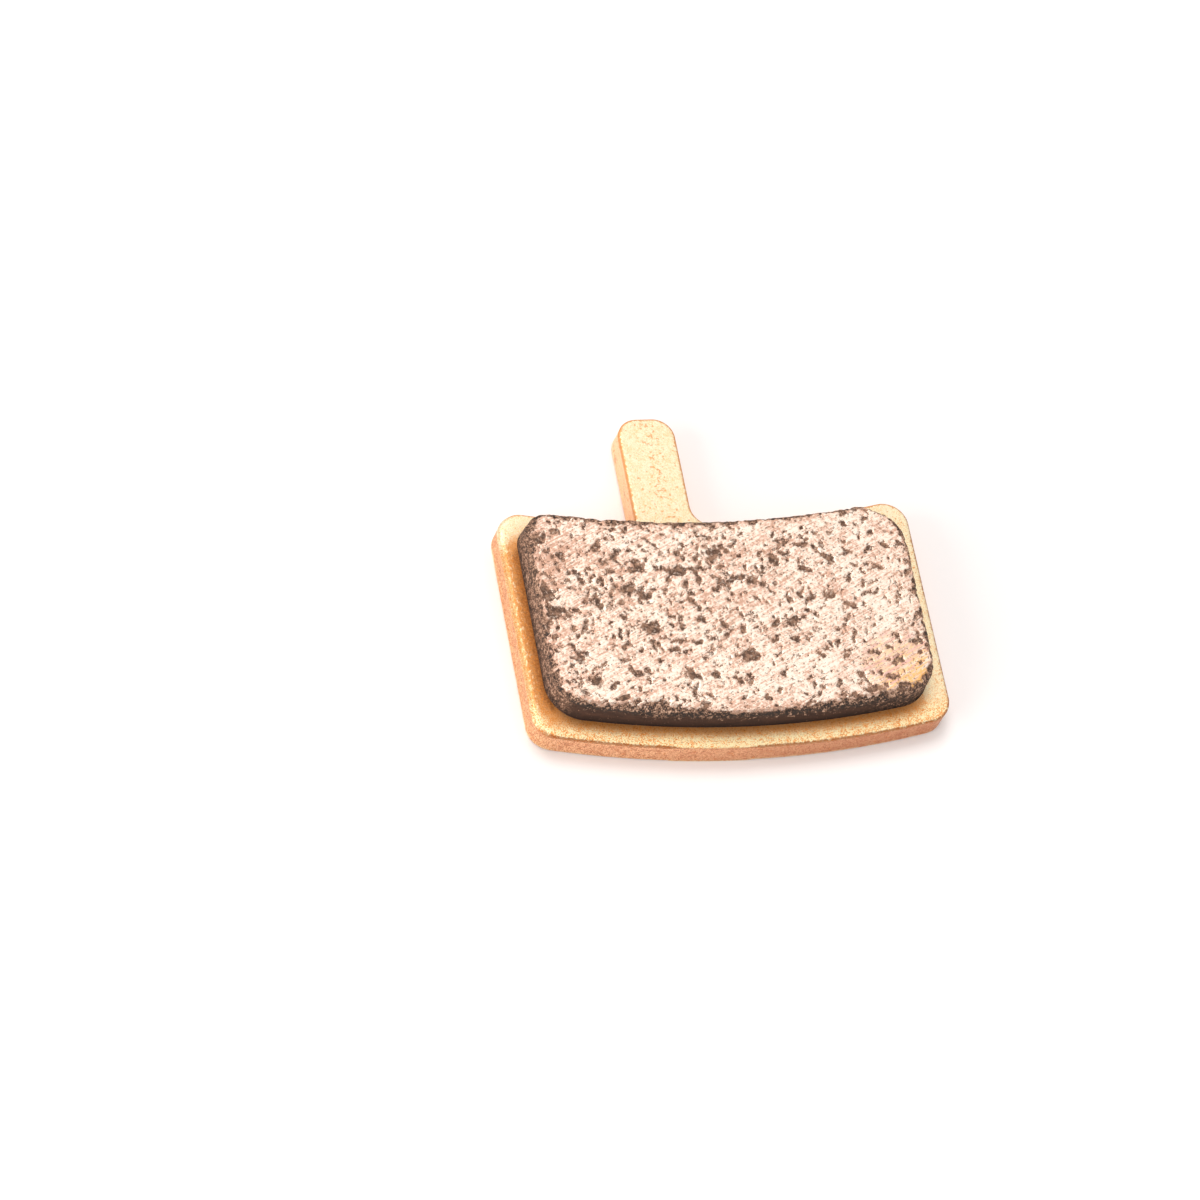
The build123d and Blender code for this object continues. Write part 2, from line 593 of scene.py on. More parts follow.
class PlateSurface:
    """Both faces and the walls of the plate as grids that share their edges."""

    STEP = 0.17 * MM
    BAND_ROWS = 104
    TAB_ROWS = 56
    WALL_RINGS = 12
    CROWDING = 0.82

    def __init__(self, settings):
        self.settings = settings
        self.blank = Blank(settings)
        self.lay_out()
        self.raise_faces()
        self.add_walls()

    def lay_out(self):
        """Columns through band and tab, rows from edge to edge, and the numbers of their vertices."""
        blank, band = self.blank, self.blank.band
        left_part = graded(-band.half_width, blank.left, band.low_corner, blank.left_root, self.STEP)
        tab_part = graded(blank.left, blank.right, blank.tip_radius, blank.tip_radius, self.STEP)
        right_part = graded(blank.right, band.half_width, blank.right_root, band.low_corner, self.STEP)
        columns = np.concatenate([left_part, tab_part[1:-1], right_part])
        tab_columns = slice(len(left_part) - 1, len(left_part) + len(tab_part) - 1)

        upper = blank.upper(columns)
        rows = crowded_rows(self.BAND_ROWS, self.CROWDING)
        band_x, band_y = fill(columns, band.lower(columns), upper, rows)
        on_tab = columns[tab_columns]
        tab_rows = crowded_rows(self.TAB_ROWS, self.CROWDING)[1:]
        tab_x, tab_y = fill(on_tab, upper[tab_columns], blank.tab_end(on_tab), tab_rows)

        self.x = np.concatenate([band_x.ravel(), tab_x.ravel()])
        self.y = np.concatenate([band_y.ravel(), tab_y.ravel()])
        band_numbers = np.arange(band_y.size).reshape(band_y.shape)
        new_numbers = band_y.size + np.arange(tab_y.size).reshape(tab_y.shape)
        tab_numbers = np.concatenate([band_numbers[tab_columns, -1:], new_numbers], axis=1)
        self.face = np.concatenate([cells(band_numbers), cells(tab_numbers)])
        self.rim = np.concatenate([
            band_numbers[:-1, 0],
            band_numbers[-1, :-1],
            band_numbers[:tab_columns.stop - 1:-1, -1],
            tab_numbers[-1, :-1],
            tab_numbers[:0:-1, -1],
            tab_numbers[0, :0:-1],
            band_numbers[tab_columns.start:0:-1, -1],
            band_numbers[0, :0:-1],
        ])

    def left_share(self, x):
        """0 on the plate and 1 at its left end, where the edge is rolled most."""
        return rise(-x - self.blank.band.half_width, -1.6, -0.6)

    def rolled(self, depth):
        """Drop of the front face near its edge, a quarter round that is larger along the left end."""
        settings = self.settings
        left = self.left_share(self.x)
        width = settings.roll_width + (settings.left_roll_width - settings.roll_width) * left
        drop = settings.roll_depth + (settings.left_roll_depth - settings.roll_depth) * left
        return drop * quarter_round(depth / width)

    def raise_faces(self):
        """Front face with its rolled edge, and back face with its broken edge."""
        self.depth = np.maximum(self.blank.depth(self.x, self.y), 0.0)
        self.front = PLATE_HIGH[2] - self.rolled(self.depth)
        self.back = self.settings.back_break * quarter_round(self.depth / self.settings.back_break)

    def add_walls(self):
        """Rings from the front rim to the back rim, moved in by torn ripples that run across the wall."""
        x, y = self.x[self.rim], self.y[self.rim]
        shares = np.linspace(0.0, 1.0, self.WALL_RINGS)[1:-1, None]
        z = self.front[self.rim] + (self.back[self.rim] - self.front[self.rim]) * shares
        ring_x = np.broadcast_to(x, z.shape).ravel()
        ring_y = np.broadcast_to(y, z.shape).ravel()
        places = np.stack([ring_x, ring_y, z.ravel()], axis=1)
        tears = fractal_noise(places * (1.0, 1.0, 0.35), 0.35, 401)
        torn = np.broadcast_to(np.sin(math.pi * shares), z.shape).ravel()
        moved = self.settings.ripple * (0.5 + 0.5 * tears) * torn
        places[:, :2] += inward(self.blank, ring_x, ring_y) * moved[:, None]

        count = len(self.x)
        front = np.stack([self.x, self.y, self.front], axis=1)
        back = np.stack([self.x, self.y, self.back], axis=1)
        self.points = np.concatenate([front, places, back])
        ring_numbers = count + np.arange(len(places)).reshape(z.shape)
        back_shift = count + len(places)
        rings = np.concatenate([self.rim[None], ring_numbers, back_shift + self.rim[None]])
        faces = [self.face, ring_cells(rings), back_shift + self.face[:, ::-1]]
        self.faces = np.concatenate(faces).tolist()
        self.wall = np.concatenate([np.zeros(count), np.ones(len(places)), np.zeros(count)])
        below = (z - self.front[self.rim]).ravel()
        self.edge = np.concatenate([self.depth, below, self.depth])


def plate_attributes(surface, foot):
    """Numbers for the finish at each vertex, all but the first of them shares from 0 to 1.

    edge is the millimetres from the front edge, less than 0 down the walls. worn says how clear the worn
    line on that edge is, ridge follows the inner line of the rolled left edge and carries a
    painted highlight, and left is 1 at that end. warm covers the rims below and left of the block with
    painted shade, a deeper gold where the block's shadow falls, and a strip of the right rim with a warmer
    tint. pale is painted light, paler gold at the middle of the lower rim and on the right rim.
    stain lies round the block's foot, a stain together with painted shade from the block, and
    tarnish browns the walls towards the lower right, partly tarnish and partly painted shade
    where the light from the left falls off. tab is 1 on the tab, speckled is where rust gathers, and wall
    is 1 on the walls.
    """
    x, y, _ = surface.points.T
    left = surface.left_share(x)
    lower = rise(-y, 4.5, 6.5) * (1.0 - 0.1 * rise(x, 12.6, 14.2))
    upright = rise(-x, 12.5, 13.6) * rise(-y, -8.6, -6.4)
    # warm: painted shade, a deeper gold on the rims below and left of the block where its shadow falls; a
    # weaker warm tint on a strip of the right rim.
    warm = np.maximum.reduce([lower, upright, 0.35 * rise(x, 13.2, 14.2)])
    # stain: a stain round the foot together with painted shade from the block, strongest along the left end.
    stain = 0.25 - 0.24 * rise(x, 12.8, 13.8) + 0.4 * warm + 0.35 * upright
    reach = (1.3 + 0.6 * upright) * MM
    # pale: painted light, paler gold at the middle of the lower rim and on the right rim, where the lamps
    # leave them dim.
    lower_middle = bell(x, 0.0, 5.0) * rise(-y, 6.0, 7.0)
    right_rim = rise(x, 13.2, 13.9) * rise(y, -5.5, -2.5)
    tab_middle = (surface.blank.left + surface.blank.right) / 2
    return {
        "edge": np.clip(surface.edge / MM, -2.0, 2.0),
        "worn": 1.0 - left * rise(y, -7.2, -5.5),
        "ridge": left * bell(surface.edge, 0.4, 0.26),
        "left": left,
        "warm": warm,
        "pale": np.maximum(lower_middle, right_rim),
        "stain": stain * (1.0 - smooth_step(-foot.depth(x, y), 0.0, reach)),
        # tarnish: tarnish together with painted shade, browner towards the lower right where the light from
        # the left falls off.
        "tarnish": rise(x, -10.0, 9.0) * rise(-y, -3.0, 5.0),
        "tab": rise(y, 8.0, 10.0),
        "speckled": bell(x - tab_middle, 0.3, 0.5) * rise(y, 7.5, 9.0),
        "wall": surface.wall,
    }


def plated_finish(settings):
    """Gold plating on a blasted grain, with rust, a worn edge and copper walls.

    Painted shade: a deeper gold on the rims beside the block, part of the stain round its foot, and part of
    the browning of the walls towards the lower right. Painted light: paler gold on parts of the rims and
    paler copper on the tab's walls. A painted highlight lies along the rolled left edge.
    """
    finish = Finish("plated_steel")
    edge, worn, ridge, left, warm, pale = finish.attributes("edge", "worn", "ridge", "left", "warm", "pale")
    stain, tarnish, tab, speckled, wall = finish.attributes("stain", "tarnish", "tab", "speckled", "wall")

    dust = finish.noise(0.08, 1.0, 0.6)
    grain = finish.noise(0.15, 2.0, 0.7)
    mottle = finish.noise(0.5, 3.0, 0.65)
    tone = dust * 0.4 + grain * 0.35 + mottle * 0.25
    # Painted light: pale lifts the gold on the right rim and the middle of the lower rim.
    plain = finish.ramp(
        tone + pale * 0.04,
        (0.43, settings.deep_gold), (0.49, settings.gold), (0.55, settings.pale_gold),
    )
    # Painted shade: the deeper gold on the rims in the block's shadow.
    beside = finish.ramp(
        tone + pale * 0.03,
        (0.46, settings.shaded_deep_gold), (0.49, settings.shaded_gold), (0.53, settings.shaded_pale_gold),
    )
    face = finish.mix(warm, plain, beside)
    # Stain and painted shade: amber, and sienna at the left end, round the block's foot.
    stain_and_shade_spread = stain + (grain - 0.5) * 0.6
    face = finish.mix(finish.step(stain_and_shade_spread, 0.05, 0.6) * 0.85, face, settings.amber)
    face = finish.mix(finish.step(stain_and_shade_spread, 0.7, 1.1) * 0.9, face, settings.sienna)
    # Painted highlight: glints in spots along the rolled left edge.
    highlight_spots = finish.noise(0.2, 2.0, 0.7, finish.stretched(0.0, (1.0, 0.5, 1.0)))
    face = finish.mix(ridge * finish.step(highlight_spots, 0.52, 0.63) * 0.65, face, settings.painted_glint)

    torn = finish.noise(0.6, 3.0, 0.65, finish.stretched(0.0, (0.5, 0.5, 1.0)))
    # Painted light: the tab's walls take the paler lit_copper and copper.
    high = finish.mix(tab, settings.copper, settings.lit_copper)
    low = finish.mix(tab, settings.mid_copper, settings.copper)
    side = finish.mix(finish.step(tone, 0.45, 0.53), low, high)
    rolled = finish.ramp(
        tone,
        (0.47, settings.mid_copper), (0.50, settings.tan), (0.54, settings.copper),
    )
    side = finish.mix(left, side, rolled)
    # Stains, and tarnish together with painted shade towards the lower right.
    side = finish.mix((finish.step(torn, 0.55, 0.72) | tarnish) * 0.5, side, settings.dark_copper)
    tint = finish.mix(wall, face, side)

    specks = finish.step(finish.noise(0.24, 2.0, 0.5) + speckled * 0.07, 0.63, 0.71)
    dots = finish.step(finish.noise(0.09, 2.0, 0.6), 0.56, 0.66)
    shift = (finish.noise(0.25, 3.0, 0.7) - 0.5) * 0.45
    line = worn * finish.step(abs(edge + shift) - tab * 0.04, 0.15, 0.06)
    tint = finish.mix(specks * 0.65, tint, settings.rust)
    tint = finish.mix(dots * (0.3 - tab * 0.15 + warm * 0.3 + wall * 0.35), tint, settings.brown)
    tint = finish.mix(line * 0.75, tint, finish.mix(tab, settings.brown, settings.rust))

    return finish.finish(
        Base_Color=tint,
        Metallic=finish.METALLIC,
        Roughness=0.38 + grain * 0.2 + wall * 0.08,
        Normal=finish.bump(grain * 0.7 + dust * 0.3, 0.45),
    )


# Friction block

# The largest pores of the ground face: x, y, width and height in millimetres, and a turn in degrees
LARGE_PORES = (
    (-7.1, 2.75, 1.2, 1.2, 0),
    (-6.2, -0.3, 1.3, 1.1, 20),
    (0.5, -2.75, 1.5, 1.2, 0),
    (-4.0, -4.0, 1.1, 0.9, 0),
    (-10.75, -4.0, 1.05, 1.05, 0),
    (-7.6, -3.75, 1.1, 0.7, 0),
    (-0.5, 5.1, 1.8, 0.7, 40),
    (-6.25, 4.25, 1.2, 1.0, 0),
    (-3.5, 4.0, 1.6, 1.0, 0),
    (4.6, 5.8, 0.8, 0.8, 0),
    (1.75, 3.0, 0.8, 0.8, 0),
    (3.9, -0.2, 1.5, 0.8, 10),
    (7.1, 1.75, 1.0, 0.8, 0),
    (7.75, 4.5, 1.0, 0.6, -50),
    (-9.5, 1.6, 1.4, 0.7, -70),
    (-4.75, -2.0, 1.0, 0.6, 0),
    (-11.5, -2.4, 0.65, 1.35, 0),
    (0.1, -4.25, 0.8, 1.0, 0),
    (5.75, 1.6, 0.9, 0.8, 0),
    (2.5, -4.25, 0.5, 1.2, 30),
    (9.1, -2.9, 0.8, 0.7, 0),
    (-13.0, 2.5, 1.0, 1.4, 0),
    (-12.9, 6.9, 1.5, 0.9, 0),
    (-12.7, 1.1, 1.5, 1.0, 20),
    (-9.0, 6.1, 1.1, 0.6, 40),
    (3.7, 4.5, 0.7, 1.1, 0),
    (7.7, -2.8, 1.0, 0.6, 40),
    (7.0, -6.0, 1.5, 0.6, 0),
    (8.9, -5.6, 1.6, 0.7, 0),
    (11.0, -5.5, 1.4, 0.8, 20),
)

# Direction of the grinding scratches in degrees, and size of the loose grains in millimetres
GRINDING = -27.0
GRAIN = 0.34


def block_band(settings, plate):
    """Outline of the block's foot, set in from the plate's edges by the bare rims."""
    lower_rim = BLOCK_LOW[1] - PLATE_LOW[1]
    return Band(
        BLOCK_HIGH[0],
        BLOCK_LOW[1],
        PLATE_LOW[1] + plate.height - settings.upper_rim,
        plate.edge_radius - lower_rim,
        plate.edge_radius + settings.upper_rim,
        settings.corner,
        settings.upper_left,
        settings.corner,
    )


def coarse(x, y):
    """Share from 0 to 1 of the coarser metal, which lies towards the left but not along the long edges."""
    middle = rise(y, -6.0, -1.0) * (1.0 - 0.6 * rise(y, 4.5, 6.5))
    return middle * rise(y - 0.6 * x, -7.0, 9.0)


def dense(x, y):
    """Share from 0 to 1 of the denser metal at the lower left of the face, which has few small pores."""
    return bell(x, -11.5, 1.8) * bell(y, -3.8, 2.2)


def left_end(x):
    """Share from 0 to 1 of the block's left end."""
    return rise(-x, 12.2, 13.2)


def broken_corner(x, y):
    """Share from 0 to 1 of the lower right corner, whose wall is broken from the face to the foot."""
    return rise(x - y, 13.5, 18.0)


def small_pores(x, y, spacing, largest):
    """Distance inside small stretched pores, one to each square cell, most of them far below the largest."""
    rng = np.random.default_rng(5)
    shift = rng.uniform(0.1, 0.9, (LATTICE, LATTICE, 2))
    radius = largest * (0.2 + 0.8 * rng.random((LATTICE, LATTICE)) ** 2.3)
    turn = rng.uniform(0.0, math.pi, (LATTICE, LATTICE))
    stretch = rng.uniform(1.0, 2.2, (LATTICE, LATTICE))
    place = np.stack([x, y], axis=1) / spacing
    cell = np.floor(place).astype(int)
    inside = np.full(len(x), -1.0)
    for step in itertools.product((-1, 0, 1), repeat=2):
        i, j = ((cell + step) % LATTICE).T
        across, up = ((cell + step + shift[i, j] - place) * spacing).T
        along = (np.cos(turn[i, j]) * across + np.sin(turn[i, j]) * up) / stretch[i, j]
        aside = (np.cos(turn[i, j]) * up - np.sin(turn[i, j]) * across) * np.sqrt(stretch[i, j])
        inside = np.maximum(inside, radius[i, j] - np.hypot(along, aside))
    return inside


def large_pores(x, y):
    """Distance inside the large pores, each an ellipse."""
    inside = np.full(len(x), -1.0)
    for centre_x, centre_y, width, height, turn in LARGE_PORES:
        cosine, sine = math.cos(math.radians(turn)), math.sin(math.radians(turn))
        across, up = x - centre_x * MM, y - centre_y * MM
        along = (cosine * across + sine * up) / (width * MM / 2)
        aside = (cosine * up - sine * across) / (height * MM / 2)
        inside = np.maximum(inside, (1.0 - np.hypot(along, aside)) * min(width, height) * MM / 2)
    return inside


def pore_field(points, settings):
    """Distance inside the nearest pore: ellipses, shifted by noise, with ragged edges and arms.

    An arm follows the line where a noise is 0, and reaches a little way out of some of the pores.
    """
    shift = 0.3 * MM
    x = points[:, 0] + shift * fractal_noise(points, 0.6, 11, gain=0.7)
    y = points[:, 1] + shift * fractal_noise(points, 0.6, 21, gain=0.7)
    inside = np.maximum(small_pores(x, y, settings.pore_spacing, settings.pore_radius), large_pores(x, y))
    ragged = 0.45 * MM * fractal_noise(points, 0.35, 91, gain=0.8)
    inside = inside + ragged - (0.09 - 0.07 * coarse(x, y) + 0.08 * dense(x, y)) * MM
    arms = 0.045 * MM - 0.5 * MM * np.abs(fractal_noise(points, 0.9, 131))
    reach = 0.2 * MM * smooth_step(fractal_noise(points, 1.5, 141), 0.05, 0.4)
    return np.maximum(inside, np.minimum(arms, inside + reach))


class BlockSurface:
    """Ground face with its pores and broken edge, drafted walls and foot of the block."""

    STEP = 0.08 * MM
    ROWS = 178
    WALL_RINGS = 20
    CROWDING = 0.35

    def __init__(self, settings, foot):
        self.settings = settings
        self.foot = foot
        self.shoulder = BLOCK_HIGH[2] - settings.crumble_depth
        self.outline = foot.inset(settings.draft)
        self.lay_out()
        self.carve_face()
        self.add_walls()
        self.roughen()

    def lay_out(self):
        """Columns along the block, rows from edge to edge, the numbers of their vertices and two shares.

        lower is 1 along the lower edge and left is 1 along the left end, and both are 0 further in.
        """
        outline = self.outline
        half_width, corner = outline.half_width, outline.low_corner
        columns = graded(-half_width, half_width, corner, corner, self.STEP)
        self.rows = crowded_rows(self.ROWS, self.CROWDING)
        self.columns = columns / half_width
        self.x, self.y = (part.ravel() for part in self.spread(outline))
        self.flat = np.stack([self.x, self.y, np.zeros_like(self.x)], axis=1)
        self.numbers = np.arange(self.x.size).reshape(len(columns), self.ROWS)
        self.from_lower = outline.from_lower(self.x, self.y)
        self.lower = 1.0 - rise(self.from_lower, 0.8, 2.6)
        self.left = 1.0 - rise(self.x + half_width, 0.7, 2.2)

    def spread(self, outline):
        """Grid that fills an outline, with columns and rows at the same shares of its size."""
        x = self.columns * outline.half_width
        return fill(x, outline.lower(x), outline.upper(x), self.rows)

    def crumble_width(self):
        """Uneven width of the broken edge, least in the middle of the lower edge."""
        settings, x = self.settings, self.x
        ends = rise(np.abs(x), 2.0, 6.0) * (1.0 - 0.35 * rise(-x, 8.0, 10.5))
        patch = 0.25 * MM * bell(x, -6.3, 1.7)
        along_lower = self.lower * (settings.crumble_lower * (0.15 + 0.85 * ends) + patch)
        upper_left = rise(-x, 3.0, 8.0) * rise(self.y, 3.0, 6.0)
        elsewhere = settings.crumble_other * (1.0 - self.lower) * (1.0 + 0.7 * upper_left)
        width = np.maximum.reduce([elsewhere, along_lower, settings.crumble_left * self.left])
        width += 0.2 * MM * broken_corner(x, self.y)
        return width * np.maximum(0.2, 1.0 + 1.2 * fractal_noise(self.flat, 1.1, 51))

    def margin(self, depth):
        """How much the pores widen towards the upper edge and the ends, where less metal was ground away."""
        away = rise(self.from_lower, 1.0, 4.0)
        uneven = 0.6 + 0.8 * fractal_noise(self.flat, 1.8, 151)
        return 0.07 * MM * away * uneven * bell(depth, 0.0, 0.45)

    def carve_face(self):
        """Ground face, less the pores, less the broken edge.

        A pore goes down as D (1 - exp(-inside / 0.08 mm)). The edge falls by h (1 - t)^n, where t is the
        depth inside the outline over the local width of the broken edge, and carries loose grains. n is 1.4
        along the lower edge and the left end, and 5 elsewhere, where the broken edge stays nearly level.
        """
        settings, flat = self.settings, self.flat
        depth = np.maximum(self.outline.depth(self.x, self.y), 0.0)
        reach = depth / self.crumble_width()
        ragged = reach + 1.4 * fractal_noise(flat, 0.45, 61, gain=0.75)
        self.crumble = 1.0 - smooth_step(ragged, 0.7, 1.2)
        self.fallen = 1.0 - np.clip(reach, 0.0, 1.0)
        fall = settings.crumble_depth * self.fallen ** (5.0 - 3.6 * np.maximum(self.lower, self.left))
        grains = grain_noise(flat, GRAIN, 71)
        crumbs = self.crumble * (0.03 + 0.14 * (1.0 - grains)) * MM * rise(depth, 0.0, 0.15)

        self.inside = pore_field(flat, settings) + self.margin(depth)
        pit = settings.pore_depth * (1.0 - np.exp(-np.maximum(self.inside, 0.0) / (0.08 * MM)))
        pit *= 0.75 + 0.35 * fractal_noise(flat, 0.18, 81)
        pit *= rise(depth, 0.0, 0.3)
        height = BLOCK_HIGH[2] - np.maximum(fall + crumbs, pit)
        self.height = np.maximum(height, self.shoulder - 0.05 * MM)

    def add_walls(self):
        """Rings from the edge of the face down to the foot, and a fan of triangles across the foot."""
        rim = rim_of(self.numbers)
        foot_x, foot_y = (part.ravel()[rim] for part in self.spread(self.foot))
        shares = np.linspace(0.0, 1.0, self.WALL_RINGS)[1:, None]
        ring_x = self.x[rim] + (foot_x - self.x[rim]) * shares
        ring_y = self.y[rim] + (foot_y - self.y[rim]) * shares
        ring_z = self.height[rim] + (BLOCK_LOW[2] - self.height[rim]) * shares
        face = np.stack([self.x, self.y, self.height], axis=1)
        walls = np.stack([ring_x.ravel(), ring_y.ravel(), ring_z.ravel()], axis=1)
        centre = np.array([[0.0, (self.foot.low + self.foot.high) / 2, BLOCK_LOW[2]]])
        self.points = np.concatenate([face, walls, centre])

        first = len(face)
        ring_numbers = first + np.arange(len(walls)).reshape(ring_z.shape)
        rings = np.concatenate([rim[None], ring_numbers])
        last = rings[-1]
        hub = np.full_like(last, len(self.points) - 1)
        fan = np.stack([np.roll(last, -1), last, hub], axis=1)
        self.faces = np.concatenate([cells(self.numbers), ring_cells(rings)]).tolist() + fan.tolist()
        self.wall = np.concatenate([np.zeros(first), np.ones(len(walls) + 1)])

    def roughen(self):
        """Moves the walls and the face's edge in by grains, most where they are broken, none at the foot."""
        x, y, z = self.points.T
        depth = np.maximum(self.outline.depth(x, y), 0.0)
        low = BLOCK_LOW[2] + 0.5 * MM
        up = np.maximum(smooth_step(z, low, self.shoulder), 0.6 * broken_corner(x, y) * (z > BLOCK_LOW[2]))
        near = 1.0 - rise(depth, 0.0, 0.5)
        grains = 1.0 - grain_noise(self.points, GRAIN, 101)
        patches = smooth_step(fractal_noise(self.points, 0.9, 111), -0.1, 0.45)
        amount = near * (0.012 + up * (0.04 + 0.2 * patches) * grains) * MM
        amount[z <= BLOCK_LOW[2]] = 0.0
        self.points[:, :2] += amount[:, None] * inward(self.foot, x, y)


def block_attributes(surface):
    """Numbers for the finish at each vertex, most of them shares from 0 to 1.

    pore is the millimetres inside a pore, crumble covers the broken edge and the walls, scorched grows from
    the face to the shoulder along the lower edge, dull is metal that grinding barely touched, heated is
    where heat tinted it, left is the left end, corner the broken corner, and wall is 1 on the walls.
    """

    def with_walls(values, on_walls):
        """Values of the face, then one number all over the walls and the foot."""
        return np.concatenate([values, np.full(len(surface.points) - len(values), on_walls)])

    x, y, _ = surface.points.T
    left = left_end(x)
    corner = broken_corner(x, y)
    scorched = rise(-y, 3.5, 5.5) * (1.0 - left) * (1.0 - 0.5 * corner)
    upper_left = 1.0 - rise(np.hypot(x + 12.6 * MM, y - 6.4 * MM), 0.6, 3.4)
    margin = 0.9 - 0.9 * rise(surface.outline.depth(x, y), 0.1, 0.9)
    heat = 1.0 - ((x - 11.0 * MM) / (3.2 * MM)) ** 2 - ((y + 4.0 * MM) / (3.0 * MM)) ** 2
    return {
        "pore": with_walls(surface.inside / MM, -1.0),
        "crumble": with_walls(surface.crumble, 1.0),
        "scorched": scorched * with_walls(surface.fallen, 1.0),
        "dull": np.maximum(upper_left, margin) + 0.5 * coarse(x, y) - 0.2,
        "heated": np.clip(heat, 0.0, 1.0),
        "left": left,
        "corner": corner,
        "wall": surface.wall,
    }


def ground_metal(finish, settings, flecks, scratches):
    """Tint of the ground metal: flecks and scratches, duller at the edge, with streaks of heat tint."""
    dull, heated, corner = finish.attributes("dull", "heated", "corner")
    patches = finish.noise(1.6, 3.0, 0.5)
    metal = finish.ramp(
        flecks * 0.6 + scratches * 0.4 + (patches - 0.5) * 0.2 - dull * 0.07,
        (0.41, settings.ground_dull), (0.46, settings.ground_soft),
        (0.50, settings.ground), (0.56, settings.ground_bright),
    )
    streaks = finish.noise(0.24, 2.0, 0.5, finish.stretched(GRINDING, (0.15, 1.0, 1.0)))
    pink = finish.step(streaks - corner * 0.15, 0.52, 0.58)
    heat = finish.mix(pink, settings.heat_yellow, settings.heat_pink)
    share = finish.step(heated * 0.8 + (streaks + scratches + flecks - 1.5) * 4.0, 0.2, 1.0)
    share = share * finish.step(heated, 0.0, 0.3) * (0.6 + corner * 0.4)
    return finish.mix(share, metal, heat)


def broken_metal(finish, settings, lumps, fine):
    """Tint of the broken edge and the walls: burnt and bare grains, over a smoother pressed wall.

    The pressed wall starts lower where the edge is rough, right of the lower left corner, and everything
    darkens towards the foot: painted shade where the block meets the plate.
    """
    left, corner, wall, scorched = finish.attributes("left", "corner", "wall", "scorched")
    x, _, z = finish.axes()
    rough = finish.step(x, -9.5 * MM, -7.0 * MM)
    tone = lumps * 0.5 + fine * 0.5
    crumbs = finish.ramp(
        (tone - 0.5) * (0.7 + scorched * 0.5) + 0.475 - scorched * (0.015 + wall * (0.09 - rough * 0.035)),
        (0.41, settings.burnt), (0.46, settings.pore_dark),
        (0.51, settings.pore_pale), (0.58, settings.crumb),
    )
    streaks = finish.noise(0.5, 3.0, 0.65, finish.stretched(0.0, (0.4, 0.4, 1.5)))
    pressed = finish.shade(settings.wall, 0.1 + streaks * 1.8)
    bare = finish.ramp(
        tone,
        (0.42, settings.burnt), (0.49, settings.bare_wall),
        (0.55, settings.pore_pale), (0.62, settings.crumb),
    )
    pressed_from = BLOCK_HIGH[2] - 0.5 * MM
    height = z + (lumps - 0.5) * 2.0 * MM + rough * 0.3 * MM
    below = wall * finish.step(height, pressed_from, pressed_from - 0.3 * MM) * (1.0 - corner)
    tint = finish.mix(below, crumbs, finish.mix(left * 0.9, pressed, bare))
    # Painted shade: darker towards the foot, where the block meets the plate.
    above_foot = finish.step(z, BLOCK_LOW[2], BLOCK_LOW[2] + 0.9 * MM)
    return finish.shade(tint, 0.4 + above_foot * 0.6)


def sintered_finish(settings):
    """Ground metal with ragged dark pores, and a crumbly edge over dark pressed walls."""
    finish = Finish("sintered_metal")
    pore, crumble = finish.attributes("pore", "crumble")
    fine = finish.noise(0.11, 2.0, 0.6)
    flecks = finish.noise(0.22, 3.0, 0.7)
    lumps = finish.noise(0.36, 3.0, 0.7)
    scratches = finish.noise(0.09, 2.0, 0.6, finish.stretched(GRINDING, (0.06, 1.0, 1.0)))
    strokes = finish.noise(0.17, 3.0, 0.6, finish.stretched(GRINDING, (0.6, 1.0, 1.0)))

    ragged = pore + (fine - 0.5) * 0.4 + (flecks - 0.5) * 0.3
    specks = finish.step(strokes, 0.59, 0.65)
    islands = finish.step(flecks, 0.57, 0.63) * 0.5
    hollow = (finish.step(ragged, -0.01, 0.025) * (1.0 - islands)) | (specks * 0.8)
    metal = ground_metal(finish, settings, flecks, scratches)
    metal = finish.mix(finish.step(ragged, -0.07, 0.0) * 0.3, metal, settings.fringe)
    inner = finish.ramp(
        lumps,
        (0.42, settings.pore_dark), (0.50, settings.pore), (0.60, settings.pore_pale),
    )
    tint = finish.mix(hollow, metal, inner)
    broken = finish.step(crumble + (fine - 0.5) + (flecks - 0.5), 0.5, 0.7)
    tint = finish.mix(broken, tint, broken_metal(finish, settings, lumps, fine))

    bare = (1.0 - hollow) * (1.0 - broken)
    height = (scratches * 0.5 + flecks * 0.3) * bare + lumps * (1.0 - bare)
    return finish.finish(
        Base_Color=tint,
        Metallic=finish.METALLIC * bare,
        Roughness=0.85 - bare * (0.5 - 0.2 * scratches),
        Normal=finish.bump(height, 0.6),
    )


# Studio

CAMERA_PLACE = Vector((-113.5, -147.86, 288.05)) * MM
CAMERA_RIGHT = Vector((0.9506, -0.1754, 0.2559))
CAMERA_UP = Vector((0.034, 0.8788, 0.476))
SENSOR = 36.0
FLOOR_SIZE = 4.0
FLOOR_GAP = 0.02 * MM
BLACK = (0.0, 0.0, 0.0)
WHITE = (1.0, 1.0, 1.0)
LAMP_DISTANCE = 0.8

# The lamps: the direction from the pad and the size in metres
LAMPS = {
    "key": ((0.31, 0.45, 0.84), 1.0),
    "back": ((-0.15, 0.42, 0.89), 0.4),
    "fill": ((-0.93, -0.28, 0.32), 0.6),
}


def add_camera(settings):
    """Camera at the viewing angle of the photograph, for a square picture."""
    data = bpy.data.cameras.new("camera")
    data.lens = settings.lens
    data.sensor_width = SENSOR
    camera = bpy.data.objects.new("camera", data)
    forward = CAMERA_RIGHT.cross(CAMERA_UP)
    axes = Matrix((CAMERA_RIGHT, CAMERA_UP, forward)).transposed()
    camera.matrix_world = Matrix.Translation(CAMERA_PLACE) @ axes.to_4x4()
    bpy.context.scene.collection.objects.link(camera)
    bpy.context.scene.camera = camera


